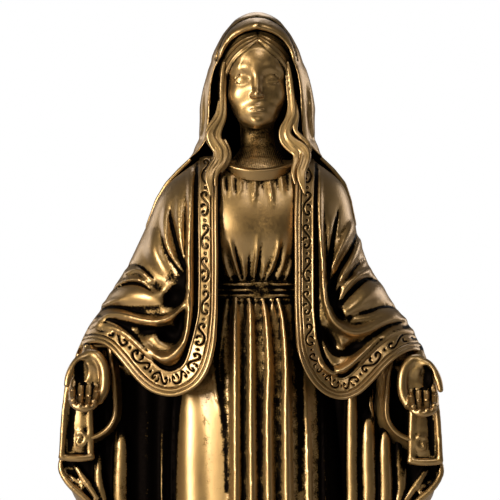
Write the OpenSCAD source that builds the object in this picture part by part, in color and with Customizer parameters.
// Standing Madonna figure with open arms, on a globe and a round plinth.
// Millimetres, +Z up, the figure faces -Y. Origin: centre of the underside of the felt.

/* [Figure] */
// Height of the whole statue, from the felt to the top of the veil
statue_h = 300; // [200:10:400]
// Wall of the hollow castings, at a height of 300
wall = 3; // [2.6:0.1:3.4]

/* [Base] */
// Radius of the plinth, at a height of 300
plinth_r = 43; // [42:0.5:46]
// Thickness of the felt pad, at a height of 300
felt_t = 1.5; // [1:0.1:2]
// Radius of the globe, at a height of 300
globe_r = 35; // [34.5:0.1:35.5]

/* [Fixings] */
// Diameter of the tie rod, at a height of 300
rod_d = 6; // [5:0.5:6]
// Diameter of the wrist dowels, at a height of 300
dowel_d = 3; // [2:0.25:3]
// Gap between neighbouring castings
gap = 0.3; // [0.2:0.05:0.4]

/* [Hidden] */

// Every size below is for a statue of 300, and each sub-part is scaled by s.
s = statue_h / 300;
bronze = "#8a6a35";
steel = "#9a9c9e";
fit = 0.05;               // radial room round a rod or dowel
plinth_h = 10.5;
plinth_top = felt_t + plinth_h;
globe_z = plinth_top - 6; // the middle of the globe is 6 below the plinth's top
nut_h = 4;
washer_h = 1;
pocket_h = 7.5;           // depth of the nut pocket under the plinth
lower_washer_z = felt_t + pocket_h - washer_h;
upper_washer_z = 53;      // on the gown's inner floor
veil_wall = 2.2;

// Sections: [z, half width left, half width right, front depth, back depth, squareness, pleat depth].
GOWN = [[33, 38, 39, 26, 24, 2.2, 1.3], [45, 37.5, 38.5, 25.5, 23.5, 2.2, 1.5],
        [70, 36, 37, 24, 21.5, 2.2, 1.4], [100, 34, 35, 22.5, 19, 2.2, 1.3],
        [140, 31, 32.5, 20.5, 16, 2.2, 1.1], [170, 27, 29, 18.5, 14.5, 2.2, 1],
        [190, 22.5, 25, 15.5, 12.5, 2.2, 0.8], [198, 20.5, 23.5, 14, 11, 2.2, 0],
        [201, 20.5, 23.5, 14, 11, 2.2, 0], [206, 21.5, 24.5, 16, 11.5, 2.2, 0.6],
        [212, 23.5, 26, 18, 12, 2.2, 0.3], [222, 26, 28, 18.6, 12.5, 2.2, 0],
        [232, 27.5, 28, 16.4, 13, 2.3, 0.3], [239, 25, 25, 15.4, 11.8, 2.3, 0.4],
        [243, 20.5, 20.5, 14.2, 10, 2.2, 0], [246, 16.5, 16.8, 11, 8.6, 2.1, 0]];
MANTLE = [[30, 43, 44, 28, 31, 2.3, 2], [50, 43, 44, 28.5, 30.5, 2.3, 2], [80, 45, 45.5, 28, 28, 2.3, 1.8],
          [98, 51, 50, 27.5, 26.5, 2.2, 1.7], [112, 58, 56, 27, 25.5, 2.1, 1.6],
          [124, 66.5, 64, 26.5, 24, 2, 1.5], [133, 70.5, 66.3, 26, 23, 2, 1.4],
          [150, 69.7, 66, 25.5, 21.5, 2, 1.2], [165, 68, 64.8, 25, 20.5, 2, 1.1],
          [175, 66.2, 61.5, 24.8, 20.5, 2, 1], [184, 62.2, 56.8, 24.6, 20, 2, 1],
          [195, 55, 49, 24.4, 19.5, 2, 0.9], [208, 46.8, 40.5, 24, 19, 2.1, 0.8],
          [222, 40.2, 35.6, 23, 18, 2.2, 0.6], [232, 36.3, 33.6, 20.8, 17, 2.3, 0.3],
          [238, 32, 31, 18, 15.6, 2.3, 0], [243, 25.4, 25, 15.6, 13.8, 2.2, 0], [247, 19.5, 19, 12.5, 12, 2.1, 0]];
VEIL = [[222, 42.6, 38.4, 25, 21, 2.3, 0.6], [232, 38.7, 36, 23, 20, 2.3, 0.5], [238, 34.4, 33.4, 20.4, 19.6, 2.3, 0.4],
        [243, 29, 28.6, 17.6, 19.8, 2.2, 0.4], [248, 23.6, 23.4, 16.6, 20.4, 2.1, 0.4],
        [254, 20.4, 20.4, 17, 21, 2, 0.3], [259, 20.6, 20.9, 17.6, 21.6, 2, 0], [265, 20.6, 21.2, 18.2, 22, 2, 0],
        [279, 17.6, 17.8, 18.6, 21.5, 2, 0], [286, 15.2, 15, 18, 20, 2, 0], [292, 12.4, 12.2, 16, 17, 2, 0],
        [297, 8.2, 8.2, 11.5, 12, 2, 0], [299.4, 4, 4, 6, 6, 2, 0], [300, 1, 1, 1.5, 1.5, 2, 0]];

// Outlines of the mantle's front opening, [x, z]: down the border, round the hem and out to the wrist,
// then down inside the hanging end to the foot of the statue.
HEM_RIGHT = [[14.5, 246], [15.4, 232], [15.2, 215], [15, 196], [15.4, 182], [17.5, 170], [22.9, 163.3],
             [29.5, 161], [36, 163], [42, 168.5], [48, 174.5], [53.5, 177.4], [59.5, 177.6]];
HEM_LEFT = [[-14.8, 246], [-16.2, 232], [-16, 215], [-15.8, 196], [-16.2, 182], [-18, 170], [-23, 164],
            [-30, 161.5], [-37, 163], [-43.5, 168.5], [-49.5, 175.5], [-55, 180], [-63, 180]];
SKIRT_RIGHT = [[61, 172], [60.6, 138], [56, 126], [45, 112], [38, 96], [34, 70], [32, 20]];
SKIRT_LEFT = [[-65, 174], [-64.6, 138], [-60, 126], [-48, 112], [-40, 96], [-35, 70], [-33, 20]];
// The face opening of the veil, right half, running out over the shoulder
VEIL_EDGE = [[0, 292.6], [6, 290.6], [10.6, 286], [13.4, 279], [15.6, 270], [17.2, 261], [17.4, 254.5],
             [19, 248.5], [24.5, 243], [31, 238.4], [35, 231], [46, 221], [46, 200]];

function mix(a, b, t) = a + (b - a) * t;
// The section of a table at height z
function section(rows, z, i = 0) = (i >= len(rows) - 2 || z < rows[i + 1][0])
    ? mix(rows[i], rows[i + 1], max(0, min(1, (z - rows[i][0]) / (rows[i + 1][0] - rows[i][0]))))
    : section(rows, z, i + 1);
function bent(v, power) = sign(v) * pow(abs(v), 2 / power);
// Where the surface of a table lies at x and z, in front and behind
function reach(row, x, depth) = depth * pow(max(0, 1 - pow(min(1, abs(x) / (x < 0 ? row[1] : row[2])), row[5])),
                                            1 / row[5]);
function front_y(rows, x, z) = let (r = section(rows, z)) -reach(r, x, r[3]);
function mirrored(points) = [for (i = [len(points) - 1 : -1 : 0]) [-points[i][0], points[i][1]]];
function grown(rows, d) = [for (r = rows) [r[0], r[1] + d, r[2] + d, r[3] + d, r[4] + d, r[5], r[6]]];
function between(rows, low, high) = concat([section(rows, low)],
    [for (r = rows) if (r[0] > low && r[0] < high) r], [section(rows, high)]);

// One ring of points; pleats stand out on the front (turned = -1) or on the back (turned = 1)
function ring(row, n, pleats, turned) = [for (i = [0 : n - 1])
    let (a = 360 * i / n, c = cos(a), d = sin(a),
         pleat = pleats > 0 ? row[6] * cos(pleats * a) * max(0, min(1, turned * d * 2.5)) : 0)
    [bent(c, row[5]) * (c < 0 ? row[1] : row[2]) + c * pleat,
     bent(d, row[5]) * (d < 0 ? row[3] : row[4]) + d * pleat, row[0]]];

// A closed solid through the rings of a section table
module loft(rows, n = 40, pleats = 0, turned = 1) {
    m = len(rows);
    points = [for (row = rows) each ring(row, n, pleats, turned)];
    sides = [for (j = [0 : m - 2], i = [0 : n - 1])
        [j * n + i, (j + 1) * n + i, (j + 1) * n + (i + 1) % n, j * n + (i + 1) % n]];
    polyhedron(points, concat(sides, [[for (i = [0 : n - 1]) i]],
        [[for (i = [n - 1 : -1 : 0]) (m - 1) * n + i]]), convexity = 8);
}

// Hulls along a path of [x, y, z, radius]
module chain(path, fn = 10) {
    for (i = [0 : len(path) - 2]) hull() for (p = [path[i], path[i + 1]])
        translate([p[0], p[1], p[2]]) sphere(r = p[3], $fn = fn);
}

// The felt covers the whole underside, the pocket of the lower nut too
module felt_pad() {
    color("#2b2a28") scale(s) cylinder(r = plinth_r - 1, h = felt_t, $fn = 96);
}

// Turned profile: a low foot, a round moulding, a waist and a small lip
module plinth() {
    r = plinth_r;
    color(bronze) scale(s) translate([0, 0, felt_t]) difference() {
        rotate_extrude($fn = 128) polygon(concat([[0, 0], [r - 0.6, 0], [r, 0.6], [r, 2.4], [r - 0.8, 3]],
            [for (a = [-70 : 20 : 70]) [r - 2.2 + 1.8 * cos(a), 4.9 + 1.8 * sin(a)]],
            [for (a = [250 : -20 : 170]) [r - 0.6 + 3.4 * cos(a), 9 + 2.6 * sin(a)]],
            [[r - 4, plinth_h - 0.8], [r - 4.6, plinth_h], [0, plinth_h]]));
        translate([0, 0, -1]) cylinder(d = rod_d + 2 * fit, h = plinth_h + 2, $fn = 48);
        translate([0, 0, -1]) cylinder(r = 8, h = pocket_h + 1, $fn = 64);
    }
}

module globe() {
    color(bronze) scale(s) translate([0, 0, globe_z]) difference() {
        sphere(r = globe_r, $fn = 96);
        translate([0, 0, -50]) cylinder(r = 60, h = 50 + plinth_top - globe_z, $fn = 48);
        sphere(r = globe_r - 4, $fn = 96);
        cylinder(d = rod_d + 2 * fit, h = 60, $fn = 48);
    }
}

// The globe's own volume, with room round it
module globe_room(room) {
    translate([0, 0, globe_z]) sphere(r = (globe_r + room) / pow(cos(180 / 44), 2), $fn = 44);
}

// The serpent lies along the globe: longitude and latitude follow smooth waves
module serpent() {
    steps = 24;
    route = [for (i = [0 : steps])
        let (t = i / steps, lon = -220 + 236 * t, lat = 25 + 8 * sin(450 * t) + 3 * t,
             thick = 2.6 * pow(sin(180 * (0.08 + t * 0.7)), 0.6), k = globe_r + 0.3 * thick)
        [k * cos(lat) * cos(lon), k * cos(lat) * sin(lon), globe_z + k * sin(lat), thick]];
    neck = route[steps];
    color(bronze) scale(s) difference() {
        union() {
            chain(route, 9);
            hull() {
                translate([neck[0], neck[1], neck[2]]) sphere(r = 2.2, $fn = 10);
                translate([neck[0] + 0.5, neck[1] + 3.4, neck[2] + 0.8]) sphere(r = 2.9, $fn = 10);
                translate([neck[0] + 0.2, neck[1] + 7, neck[2] - 0.6]) sphere(r = 1.3, $fn = 10);
            }
        }
        globe_room(0.05);
        translate([0, 0, -1]) cylinder(r = 60, h = plinth_top + 1.05, $fn = 48);
        loft(grown(GOWN, gap), 72, 14, -1);
        foot_shapes(gap);
    }
}

module tie_rod() {
    color(steel) scale(s) translate([0, 0, felt_t + 1]) cylinder(d = rod_d, h = 57.5, $fn = 48);
}

module tie_nuts() {
    color(steel) scale(s) for (z = [lower_washer_z - nut_h, upper_washer_z + washer_h])
        translate([0, 0, z]) difference() {
            cylinder(d = 11, h = nut_h, $fn = 6);
            translate([0, 0, -1]) cylinder(d = rod_d + 2 * fit, h = nut_h + 2, $fn = 48);
        }
}

module tie_washers() {
    color(steel) scale(s) for (z = [lower_washer_z, upper_washer_z])
        translate([0, 0, z]) difference() {
            cylinder(d = 13, h = washer_h, $fn = 48);
            translate([0, 0, -1]) cylinder(d = rod_d + 2 * fit, h = washer_h + 2, $fn = 48);
        }
}

// Hollow gown: pleats below the belt and under the collar, a floor for the tie rod, a socket for the neck
module gown() {
    color(bronze) scale(s) difference() {
        resize([0, 0, 0]) difference() {
            loft(GOWN, 72, 14, -1);
            loft(grown(between(GOWN, upper_washer_z, 238), -wall), 24);
            globe_room(gap);
            foot_shapes(gap);
            neck_shape(gap);
            collar_shape(gap);
        }
        cylinder(d = rod_d + 2 * fit, h = 60, $fn = 48);
    }
}

// A flat sash wound twice, with two grooves
module belt() {
    at = function(z, d) grown([section(GOWN, z)], d)[0];
    band = function(low, high, edge, full) [at(low, edge), at(low + 0.7, full), at(high - 0.7, full), at(high, edge)];
    color(bronze) scale(s) resize([0, 0, 0]) difference() {
        loft(band(195.8, 202.4, 0.7, 1.5), 36);
        loft([at(195, 0.05), at(204, 0.05)], 36);
        for (z = [197.6, 199.9]) difference() {
            loft([at(z, 4), at(z + 0.6, 4)], 36);
            loft([at(z - 0.1, 1), at(z + 0.7, 1)], 36);
        }
    }
}

// The neckline leans forward with the chest
module neck_frame() {
    translate([0.6, -4.6, 247]) rotate([28, 0, 0]) children();
}

module collar_shape(room = 0) {
    neck_frame() rotate_extrude($fn = 36) translate([14.2, 0]) offset(r = room) scale([0.5, 1])
        circle(r = 2.4, $fn = 8);
}

module collar() {
    color(bronze) scale(s) resize([0, 0, 0]) difference() {
        collar_shape();
        translate([-30, 0, 220]) cube([60, 30, 50]);
    }
}

module foot_shapes(room = 0) {
    for (side = [-1, 1]) translate([side * 8 + 0.5, -23, 36.5]) rotate([18, 0, side * 9]) hull() {
        translate([0, 8, 1.5]) sphere(r = 4 + room, $fn = 16);
        translate([0, -5, 0]) scale([1.25, 1, 0.75]) sphere(r = 3.6 + room, $fn = 16);
    }
}

module foot(side) {
    color(bronze) scale(s) resize([0, 0, 0]) difference() {
        intersection() {
            foot_shapes();
            translate([side > 0 ? 0.5 : -60, -60, 0]) cube([60, 80, 60]);
        }
        globe_room(0.05);
    }
}

// The front opening of the mantle on one side, as a solid that runs forward from the middle
module opening(side) {
    outline = side > 0 ? concat(HEM_RIGHT, SKIRT_RIGHT) : concat(HEM_LEFT, SKIRT_LEFT);
    translate([0, -2, 0]) rotate([90, 0, 0]) linear_extrude(height = 60)
        polygon(concat([[-side * 0.5, 260], [side * 12, 260]], outline, [[-side * 0.5, 20]]));
}

// The cloth that falls beside the knees, behind the hands, with two tubular folds
module inner_fall(side) {
    outline = [[26, 166], [61, 166], [64, 150], [63, 136], [55, 122], [46, 106], [41, 90], [39, 60], [38, 34],
               [30, 34], [26, 100]];
    intersection() {
        union() {
            translate([0, -4, 0]) rotate([90, 0, 0]) linear_extrude(height = 4.5)
                polygon([for (p = outline) [side * p[0], p[1]]]);
            for (x = [40, 47]) chain([[side * x, -7, 150, 1.6], [side * x, -8, 143, 2.6],
                                      [side * x * 0.96, -8.4, 118, 2.8], [side * (x * 0.3 + 24), -8.6, 90, 2.8]], 12);
        }
        loft(grown(MANTLE, -0.5), 40);
    }
}

module mantle() {
    inside = grown(between(MANTLE, 34, 244), -wall);
    color(bronze) scale(s) resize([0, 0, 0]) difference() {
        union() {
            difference() {
                loft(MANTLE, 72, 18, 1);
                loft(concat([[20, 40, 41, 25, 28, 2.3, 0]], inside, [[250, 16, 16, 9, 10, 2.1, 0]]), 40);
                opening(1);
                opening(-1);
            }
            for (side = [-1, 1]) inner_fall(side);
        }
        loft(grown(between(GOWN, 33, 190), gap), 48);
        neck_shape(gap);
        foot_shapes(gap);
        globe_room(gap);
        cuff_shape(1, gap);
        cuff_shape(-1, gap);
        serpent_room();
        loft(grown(between(GOWN, 230, 246), gap), 48);
        collar_shape(gap);
    }
}

module serpent_room() {
    translate([0, 0, globe_z]) sphere(r = globe_r + 4, $fn = 48);
}

// A flat band that follows the hem and lies on the mantle
module border_shape(side, room = 0) {
    hem = side > 0 ? HEM_RIGHT : HEM_LEFT;
    width = 5.2;
    last = len(hem) - 1;
    away = [for (i = [0 : last]) let (d = hem[min(last, i + 1)] - hem[max(0, i - 1)])
        side * [-d[1], d[0]] / norm(d)];
    edge = [for (i = [0 : last]) [hem[i] - room * away[i], hem[i] + (width + room) * away[i]]];
    for (i = [0 : last - 1]) hull() for (p = concat(edge[i], edge[i + 1]))
        translate([p[0], front_y(MANTLE, p[0], p[1]) - 0.5, p[1]]) rotate([90, 0, 0])
            cylinder(r = 0.5, h = 2.8 + 2 * room, center = true, $fn = 6);
}

module border(side) {
    color(bronze) scale(s) difference() {
        border_shape(side);
        loft(grown(MANTLE, 0.05), 72, 18, 1);
        loft(grown(GOWN, gap), 48);
        neck_shape(gap);
        collar_shape(gap);
    }
}

// Wrists: where each hand meets its cuff
WRIST_RIGHT = [57, -16, 173];
WRIST_LEFT = [-60, -16, 174.5];
function wrist(side) = side > 0 ? WRIST_RIGHT : WRIST_LEFT;

// The hanging sleeve of the gown: a wide loop of cloth below the wrist
module cuff_shape(side, room = 0) {
    w = wrist(side);
    loop = [[0, 5, 1, 6.4], [-side * 2, 5.5, -10, 6.8], [-side * 2.6, 5.5, -21, 6], [-side * 2, 5.5, -27, 4]];
    chain([for (p = loop) [w[0] + p[0], w[1] + p[1], w[2] + p[2], p[3] + room]], 12);
}

module cuff(side) {
    w = wrist(side);
    mouth = [[0, 2, -8, 4.6], [-side * 1.2, 1.6, -20, 4.4], [-side * 0.8, 2, -25.5, 2.6]];
    color(bronze) scale(s) difference() {
        resize([0, 0, 0]) difference() {
            cuff_shape(side);
            chain([for (p = mouth) [w[0] + p[0], w[1] + p[1], w[2] + p[2], p[3]]], 12);
            hand_shape(side, gap);
            border_shape(side, gap);
        }
        wrist_bore(side);
    }
}

module wrist_bore(side) {
    w = wrist(side);
    translate([w[0], w[1] + 6, w[2] - 0.5]) rotate([90, 0, 0]) cylinder(d = dowel_d + 2 * fit, h = 9, $fn = 32);
}

module wrist_dowel(side) {
    w = wrist(side);
    color(steel) scale(s) translate([w[0], w[1] + 5.7, w[2] - 0.5]) rotate([90, 0, 0])
        cylinder(d = dowel_d, h = 8.4, $fn = 32);
}

// A cupped hand, palm to the front, the fingers curling forward and the thumb on the outside
module hand_shape(side, room = 0) {
    w = wrist(side);
    translate([w[0] + side * 1.6, w[1] - 3, w[2] - 2]) {
        hull() {
            translate([0, 1, 0]) sphere(r = 3.8 + room, $fn = 16);
            translate([-side * 3.6, 0, -9]) sphere(r = 2.2 + room, $fn = 12);
            translate([side * 3.6, -0.4, -9]) sphere(r = 2.2 + room, $fn = 12);
        }
        for (i = [0 : 3]) {
            x = side * (-4.4 + 2.9 * i);
            long = [5, 6.6, 6.8, 5.6][i];
            chain([[x, 0, -9, 1.6 + room], [x, -1.8, -10 - long * 0.5, 1.5 + room],
                   [x * 0.9, -4.6, -10.5 - long * 0.8, 1.3 + room]], 8);
        }
        chain([[side * 2.8, 0, -2, 2.2 + room], [side * 5.4, -2, -5.4, 1.7 + room],
               [side * 6.4, -3.6, -9, 1.3 + room]], 8);
    }
}

module hand(side) {
    color(bronze) scale(s) difference() {
        resize([0, 0, 0]) hand_shape(side);
        wrist_bore(side);
    }
}

module skull_shape(room = 0) {
    hull() {
        translate([0, 0, 278.5]) scale([0.84, 1, 1.02]) sphere(r = 14 + room, $fn = 28);
        translate([0, -6.5, 262.5]) scale([1, 0.9, 0.8]) sphere(r = 5.8 + room, $fn = 20);
    }
}

module neck_shape(room = 0) {
    translate([0, 2, 231]) cylinder(r = 7.4 + room, h = 36, $fn = 24);
    hull() {
        neck_frame() translate([0, 0, -2 - room]) cylinder(r = 12.4 + room, h = 3.6 + 2 * room, $fn = 28);
        translate([0, 1, 253.5]) cylinder(r = 7.6 + room, h = 2, $fn = 28);
    }
}

// The room inside the veil, and in front of it through the face opening
module inside_veil(room) {
    loft(grown(between(VEIL, 225, 297), -veil_wall - room), 40);
    intersection() {
        translate([0, -0.5, 0]) veil_window(room);
        translate([-60, -60, 200]) cube([120, 70, 100]);
    }
}

module face() {
    hull() {
        translate([0, -13.2, 275]) sphere(r = 1, $fn = 10);
        translate([0, -15.4, 269]) sphere(r = 1.5, $fn = 10);
    }
    hull() for (x = [-2.2, 2.2])
        translate([x, -12.6, 264]) sphere(r = 1.1, $fn = 10);
    for (side = [-1, 1]) hull() for (x = [3, 6.4])
        translate([side * x, -12.6 + (x - 3) * 0.45, 273.4]) sphere(r = 1.3, $fn = 10);
}

module head() {
    color(bronze) scale(s) resize([0, 0, 0]) difference() {
        intersection() {
            union() {
                skull_shape();
                face();
                neck_shape();
                for (side = [-1, 1]) hull()
                    for (p = [[2, -11.6, 288], [8.4, -8, 284.6], [11.6, -3.6, 276], [12, -2, 266]])
                        translate([side * p[0], p[1], p[2]]) sphere(r = 2.2, $fn = 10);
            }
            inside_veil(gap);
        }
        translate([0, 2, 225]) cylinder(r = 3.6, h = 40, $fn = 20);
        collar_shape(gap);
    }
}

LOCK_RIGHT = [[13.4, -7, 271], [13.4, -10, 264], [12.6, -12, 258], [12.6, -15, 252], [15.4, -18, 249],
              [17, -20, 245], [16.4, -22.5, 240], [18, -25, 234]];
LOCK_LEFT = [[-13.4, -7, 271], [-12.6, -10, 263], [-15.6, -12, 258], [-16, -15, 254], [-13.6, -18, 249.5],
             [-14.4, -20, 245], [-17, -22.5, 240], [-17.6, -25, 233]];
module hair(side) {
    lock = side > 0 ? LOCK_RIGHT : LOCK_LEFT;
    last = len(lock) - 1;
    color(bronze) scale(s) resize([0, 0, 0]) difference() {
        intersection() {
            union() {
                chain([for (i = [0 : last]) [lock[i][0], lock[i][1], lock[i][2], 2 - 0.1 * i]], 10);
                chain([for (i = [2 : last - 1]) [lock[i][0] - side * 2.4, lock[i][1] + 0.8, lock[i][2] - 1, 1.6]], 8);
            }
            inside_veil(gap);
        }
        loft(grown(MANTLE, gap), 72, 18, 1);
        loft(grown(GOWN, gap), 48);
        border_shape(side, gap);
        neck_shape(gap);
        skull_shape(gap);
        for (p = [[11.6, -3.6, 276], [12, -2, 266]])
            translate([side * p[0], p[1], p[2]]) sphere(r = 2.2 + gap, $fn = 10);
        hull() for (p = [[11.6, -3.6, 276], [12, -2, 266]])
            translate([side * p[0], p[1], p[2]]) sphere(r = 2.2 + gap, $fn = 10);
        collar_shape(gap);
    }
}

module veil_window(room = 0) {
    rotate([90, 0, 0]) linear_extrude(height = 60) offset(delta = -room)
        polygon(concat(VEIL_EDGE, mirrored(VEIL_EDGE)));
}

module veil() {
    rim = [for (i = [0 : 8]) VEIL_EDGE[i]];
    color(bronze) scale(s) resize([0, 0, 0]) difference() {
        union() {
            loft(VEIL, 56, 9, 1);
            for (side = [-1, 1])
                chain([for (p = rim) [side * (p[0] + 0.5), front_y(VEIL, p[0], p[1]) + 0.9, p[1] + 0.4, 1.3]], 8);
        }
        loft(concat([grown([section(VEIL, 222)], -veil_wall)[0] + [-2, 0, 0, 0, 0, 0, 0]],
                    grown(between(VEIL, 223, 297.4), -veil_wall)), 40);
        loft(grown(MANTLE, gap), 72, 18, 1);
        for (side = [-1, 1]) border_shape(side, gap);
        translate([0, -1, 0]) veil_window();
    }
}

felt_pad();
plinth();
globe();
serpent();
tie_rod();
tie_nuts();
tie_washers();
gown();
belt();
collar();
foot(-1);  // foot_left
foot(1);  // foot_right
mantle();
border(-1);  // border_left
border(1);  // border_right
cuff(-1);  // cuff_left
cuff(1);  // cuff_right
hand(-1);  // hand_left
hand(1);  // hand_right
wrist_dowel(-1);  // wrist_dowel_left
wrist_dowel(1);  // wrist_dowel_right
head();
hair(-1);  // hair_left
hair(1);  // hair_right
veil();
